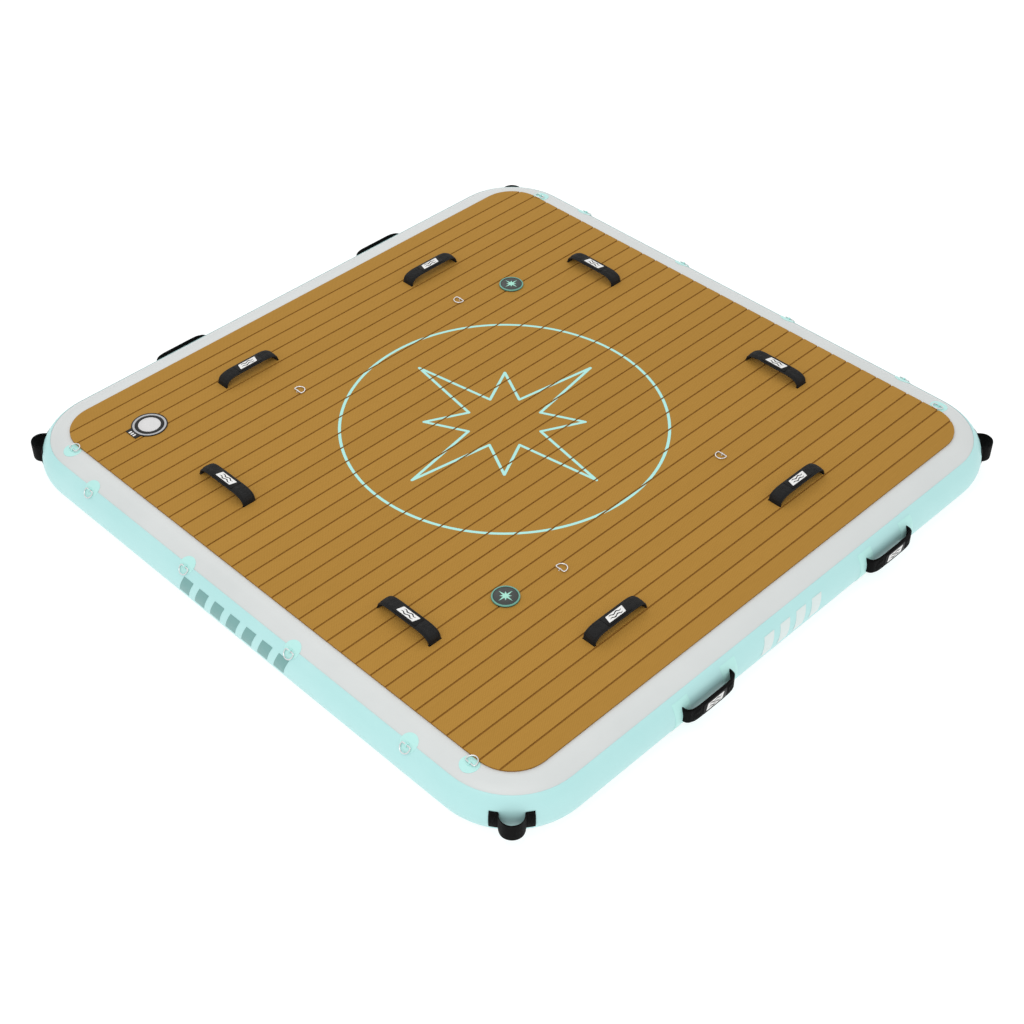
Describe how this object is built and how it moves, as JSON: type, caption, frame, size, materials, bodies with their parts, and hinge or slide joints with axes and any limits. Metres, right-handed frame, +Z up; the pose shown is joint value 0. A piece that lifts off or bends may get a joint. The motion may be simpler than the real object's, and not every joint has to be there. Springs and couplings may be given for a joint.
{
  "type": "inflatable floating dock",
  "caption": "Square inflatable floating dock with a planked foam deck, webbing grab handles, corner loops, swinging D-rings and a capped inflation valve.",
  "frame": {"origin": "centre of the overall footprint, at the lowest face of the bottom sheet", "axes": "+X along the deck's planks, +Y to the side that holds the valve, +Z up"},
  "size_m": [2.3883, 2.4496, 0.2169],
  "materials": {
    "grey_fabric": "satin PVC-coated drop-stitch fabric",
    "mint_fabric": "satin PVC-coated fabric",
    "patch_mint": "satin PVC patch",
    "thread": "woven polyester thread",
    "plank_foam": "brushed closed-cell EVA foam",
    "dark_foam": "closed-cell EVA foam",
    "inlay_foam": "closed-cell EVA foam",
    "black_webbing": "padded nylon webbing",
    "black_rubber": "moulded rubber",
    "white_print": "moulded soft PVC label",
    "slate_print": "printed ink",
    "disc_face": "moulded plastic",
    "steel": "polished stainless steel",
    "magnet": "nickel-plated magnet",
    "white_plastic": "moulded nylon",
    "grey_plastic": "moulded nylon",
    "dark_plastic": "moulded nylon"
  },
  "bodies": {
    "dock": {"top_sheet": "grey_fabric", "bottom_sheet": "grey_fabric", "side_wall": "mint_fabric", "inner_side_wall": "grey_fabric", "drop_stitch_rows": "thread", "deck_pad_base": "dark_foam", "deck_planks": "plank_foam", "deck_inlay": "inlay_foam", "wall_graphics": "slate_print", "valve_body": "dark_plastic", "valve_bezel": "grey_plastic", "valve_backing_nut": "dark_plastic", "valve_spring": "steel", "cap_tether": "black_rubber", "disc_housings": "dark_plastic", "disc_magnets": "magnet", "disc_faces": "disc_face", "handle_anchors": "grey_fabric", "deck_handle_badges": "white_print", "side_handle_badges": "white_print", "side_handle_patches": "patch_mint", "ring_patches": "patch_mint", "ring_keepers": "patch_mint", "deck_handle_1": "black_webbing", "deck_handle_2": "black_webbing", "deck_handle_3": "black_webbing", "deck_handle_4": "black_webbing", "deck_handle_5": "black_webbing", "deck_handle_6": "black_webbing", "deck_handle_7": "black_webbing", "deck_handle_8": "black_webbing", "side_handle_1": "black_webbing", "side_handle_2": "black_webbing", "side_handle_3": "black_webbing", "side_handle_4": "black_webbing", "corner_loop_1": "black_webbing", "corner_loop_2": "black_webbing", "corner_loop_3": "black_webbing", "corner_loop_4": "black_webbing"},
    "cap_carrier": {"cap_swivel": "black_rubber"},
    "cap": {"valve_cap": "white_plastic", "cap_gasket": "black_rubber"},
    "stem": {"valve_stem": "white_plastic", "valve_seal": "black_rubber"},
    "side_ring_1_body": {"side_ring_1": "steel"},
    "side_ring_2_body": {"side_ring_2": "steel"},
    "side_ring_3_body": {"side_ring_3": "steel"},
    "side_ring_4_body": {"side_ring_4": "steel"},
    "side_ring_5_body": {"side_ring_5": "steel"},
    "side_ring_6_body": {"side_ring_6": "steel"},
    "side_ring_7_body": {"side_ring_7": "steel"},
    "side_ring_8_body": {"side_ring_8": "steel"},
    "corner_ring_1_body": {"corner_ring_1": "steel"},
    "corner_ring_2_body": {"corner_ring_2": "steel"},
    "corner_ring_3_body": {"corner_ring_3": "steel"},
    "corner_ring_4_body": {"corner_ring_4": "steel"},
    "deck_ring_1_body": {"deck_ring_1": "steel"},
    "deck_ring_2_body": {"deck_ring_2": "steel"},
    "deck_ring_3_body": {"deck_ring_3": "steel"},
    "deck_ring_4_body": {"deck_ring_4": "steel"}
  },
  "joints": [
    {"name": "side_ring_1_swing", "type": "hinge", "parent": "dock", "child": "side_ring_1_body", "pos_m": [1.16901, -0.755, 0.15619], "axis": [0, -1, 0], "range_deg": [0, 160]},
    {"name": "side_ring_2_swing", "type": "hinge", "parent": "dock", "child": "side_ring_2_body", "pos_m": [1.16901, -0.25167, 0.15619], "axis": [0, -1, 0], "range_deg": [0, 160]},
    {"name": "side_ring_3_swing", "type": "hinge", "parent": "dock", "child": "side_ring_3_body", "pos_m": [1.16901, 0.25167, 0.15619], "axis": [0, -1, 0], "range_deg": [0, 160]},
    {"name": "side_ring_4_swing", "type": "hinge", "parent": "dock", "child": "side_ring_4_body", "pos_m": [1.16901, 0.755, 0.15619], "axis": [0, -1, 0], "range_deg": [0, 160]},
    {"name": "side_ring_5_swing", "type": "hinge", "parent": "dock", "child": "side_ring_5_body", "pos_m": [-1.16901, 0.755, 0.15619], "axis": [0, 1, 0], "range_deg": [0, 160]},
    {"name": "side_ring_6_swing", "type": "hinge", "parent": "dock", "child": "side_ring_6_body", "pos_m": [-1.16901, 0.25167, 0.15619], "axis": [0, 1, 0], "range_deg": [0, 160]},
    {"name": "side_ring_7_swing", "type": "hinge", "parent": "dock", "child": "side_ring_7_body", "pos_m": [-1.16901, -0.25167, 0.15619], "axis": [0, 1, 0], "range_deg": [0, 160]},
    {"name": "side_ring_8_swing", "type": "hinge", "parent": "dock", "child": "side_ring_8_body", "pos_m": [-1.16901, -0.755, 0.15619], "axis": [0, 1, 0], "range_deg": [0, 160]},
    {"name": "corner_ring_1_swing", "type": "hinge", "parent": "dock", "child": "corner_ring_1_body", "pos_m": [1.103, -0.94, 0.17995], "axis": [0, 1, 0], "range_deg": [0, 150]},
    {"name": "corner_ring_2_swing", "type": "hinge", "parent": "dock", "child": "corner_ring_2_body", "pos_m": [1.103, 0.94, 0.17995], "axis": [0, 1, 0], "range_deg": [0, 150]},
    {"name": "corner_ring_3_swing", "type": "hinge", "parent": "dock", "child": "corner_ring_3_body", "pos_m": [-1.103, 0.94, 0.17995], "axis": [0, -1, 0], "range_deg": [0, 150]},
    {"name": "corner_ring_4_swing", "type": "hinge", "parent": "dock", "child": "corner_ring_4_body", "pos_m": [-1.103, -0.94, 0.17995], "axis": [0, -1, 0], "range_deg": [0, 150]},
    {"name": "deck_ring_1_swing", "type": "hinge", "parent": "dock", "child": "deck_ring_1_body", "pos_m": [0.384, -0.59, 0.1847], "axis": [0, 1, 0], "range_deg": [0, 175]},
    {"name": "deck_ring_2_swing", "type": "hinge", "parent": "dock", "child": "deck_ring_2_body", "pos_m": [0.384, 0.65, 0.1847], "axis": [0, 1, 0], "range_deg": [0, 175]},
    {"name": "deck_ring_3_swing", "type": "hinge", "parent": "dock", "child": "deck_ring_3_body", "pos_m": [-0.384, -0.59, 0.1847], "axis": [0, -1, 0], "range_deg": [0, 175]},
    {"name": "deck_ring_4_swing", "type": "hinge", "parent": "dock", "child": "deck_ring_4_body", "pos_m": [-0.384, 0.65, 0.1847], "axis": [0, -1, 0], "range_deg": [0, 175]},
    {"name": "cap_lift", "type": "slide", "parent": "dock", "child": "cap_carrier", "axis": [0, 0, 1], "range_m": [0, 0.08]},
    {"name": "cap_turn", "type": "hinge", "parent": "cap_carrier", "child": "cap", "pos_m": [-0.85, 0.861, 0.1781], "axis": [0, 0, 1], "range_deg": [0, 60]},
    {"name": "stem_press", "type": "slide", "parent": "dock", "child": "stem", "axis": [0, 0, -1], "range_m": [0, 0.006], "stiffness_N_per_m": 600, "springref_m": -0.004, "deforming": ["valve_spring"]}
  ]
}
